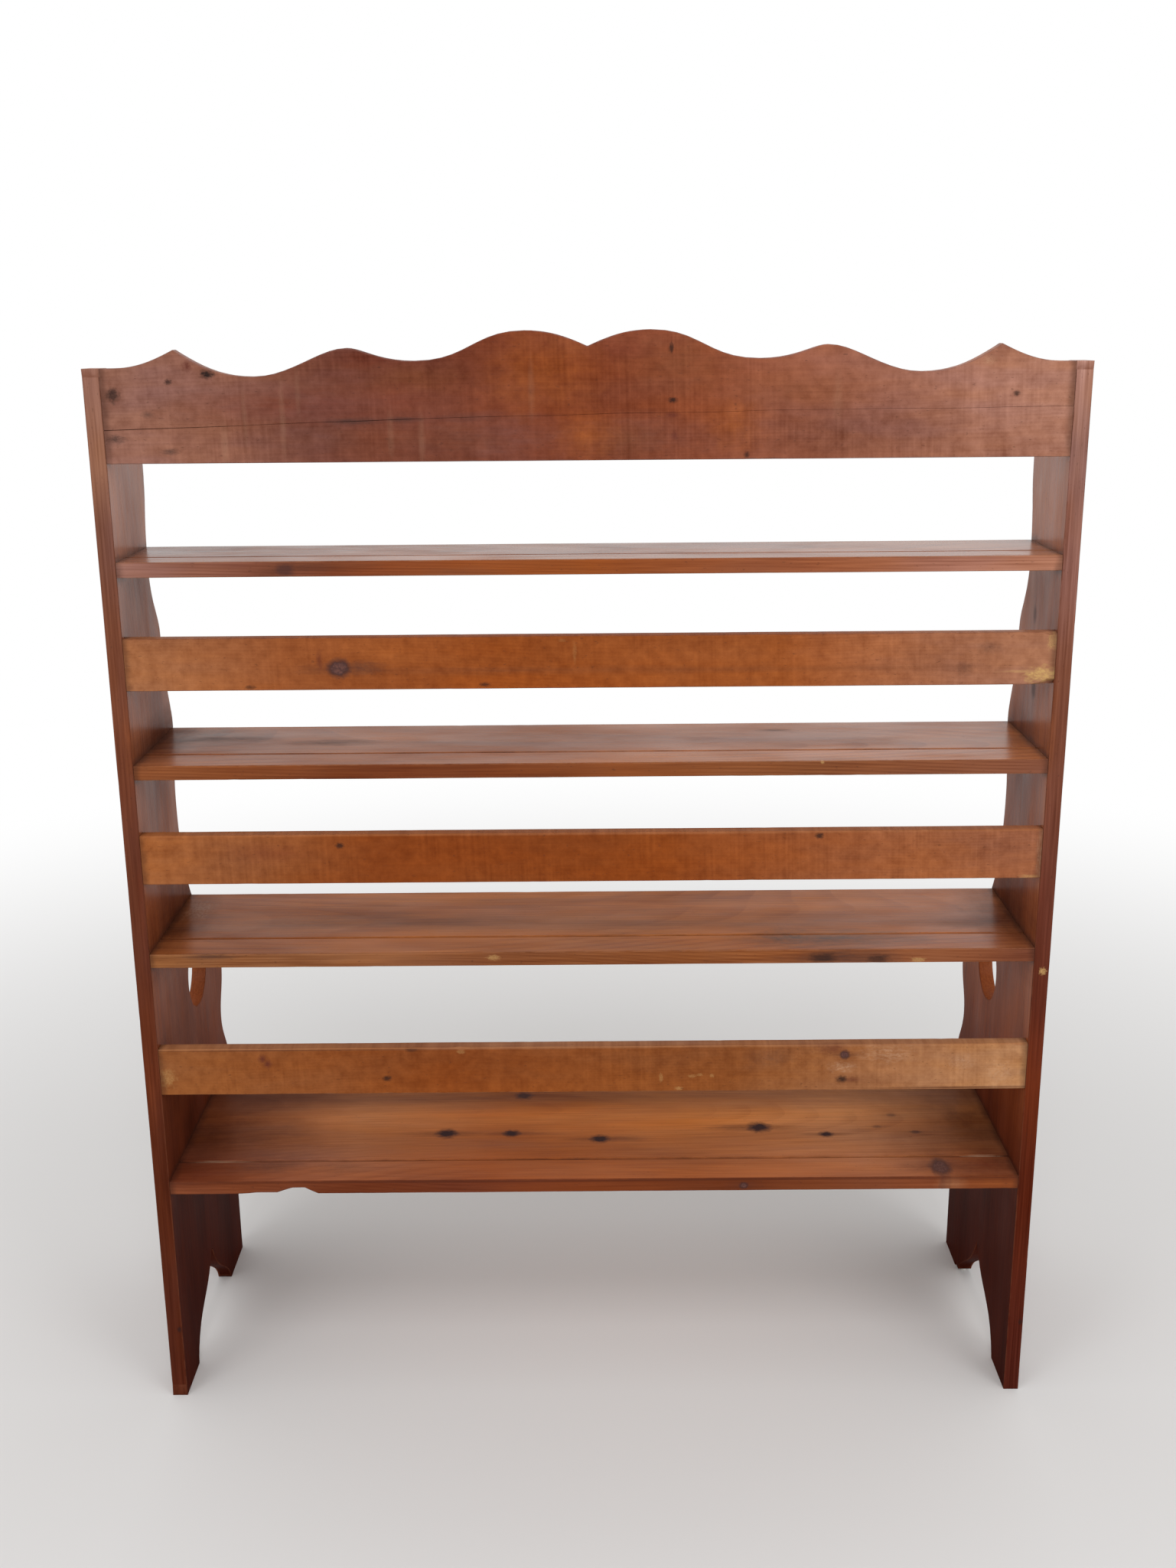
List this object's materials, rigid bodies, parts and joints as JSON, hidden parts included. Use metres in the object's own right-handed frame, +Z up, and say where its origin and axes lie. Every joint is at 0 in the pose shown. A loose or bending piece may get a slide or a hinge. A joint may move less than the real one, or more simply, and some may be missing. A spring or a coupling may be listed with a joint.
{
  "type": "plate display shelf",
  "caption": "Free-standing stained pine rack with shaped sides, grooved shelves, plate rails and a scrolled crest, for standing plates on edge.",
  "frame": {"origin": "on the floor, under the middle of the overall box", "axes": "+Z up; +X to the right as pictured; -Y towards the pictured side, where the straight edges of the sides, the crest and the rails lie flush; +Y towards the shaped edges of the sides"},
  "size_m": [1.27, 0.408, 1.5382],
  "materials": {
    "side_pine": "pine stained red-brown, satin varnish, worn arrises",
    "shelf_pine": "pine stained warm brown, satin varnish, knots and handling marks",
    "rail_pine": "band-sawn pine stained orange-brown, low satin varnish",
    "crest_pine": "band-sawn pine stained red-brown, low satin varnish",
    "nail_iron": "dull dark iron, heads set flush under the stain",
    "glide_white": "plain white moulded plastic"
  },
  "bodies": {
    "root": {"left_side": "side_pine", "right_side": "side_pine", "crest": "crest_pine", "top_shelf": "shelf_pine", "second_shelf": "shelf_pine", "third_shelf": "shelf_pine", "bottom_shelf": "shelf_pine", "upper_plate_rail": "rail_pine", "middle_plate_rail": "rail_pine", "lower_plate_rail": "rail_pine", "nail_crest_left_1": "nail_iron", "nail_crest_left_2": "nail_iron", "nail_crest_left_3": "nail_iron", "nail_crest_right_1": "nail_iron", "nail_crest_right_2": "nail_iron", "nail_crest_right_3": "nail_iron", "nail_top_shelf_left_1": "nail_iron", "nail_top_shelf_left_2": "nail_iron", "nail_top_shelf_right_1": "nail_iron", "nail_top_shelf_right_2": "nail_iron", "nail_second_shelf_left_1": "nail_iron", "nail_second_shelf_left_2": "nail_iron", "nail_second_shelf_right_1": "nail_iron", "nail_second_shelf_right_2": "nail_iron", "nail_third_shelf_left_1": "nail_iron", "nail_third_shelf_left_2": "nail_iron", "nail_third_shelf_right_1": "nail_iron", "nail_third_shelf_right_2": "nail_iron", "nail_bottom_shelf_left_1": "nail_iron", "nail_bottom_shelf_left_2": "nail_iron", "nail_bottom_shelf_left_3": "nail_iron", "nail_bottom_shelf_right_1": "nail_iron", "nail_bottom_shelf_right_2": "nail_iron", "nail_bottom_shelf_right_3": "nail_iron", "nail_upper_plate_rail_left_1": "nail_iron", "nail_upper_plate_rail_left_2": "nail_iron", "nail_upper_plate_rail_right_1": "nail_iron", "nail_upper_plate_rail_right_2": "nail_iron", "nail_middle_plate_rail_left_1": "nail_iron", "nail_middle_plate_rail_left_2": "nail_iron", "nail_middle_plate_rail_right_1": "nail_iron", "nail_middle_plate_rail_right_2": "nail_iron", "nail_lower_plate_rail_left_1": "nail_iron", "nail_lower_plate_rail_left_2": "nail_iron", "nail_lower_plate_rail_right_1": "nail_iron", "nail_lower_plate_rail_right_2": "nail_iron", "foot_glide": "glide_white"}
  },
  "joints": []
}
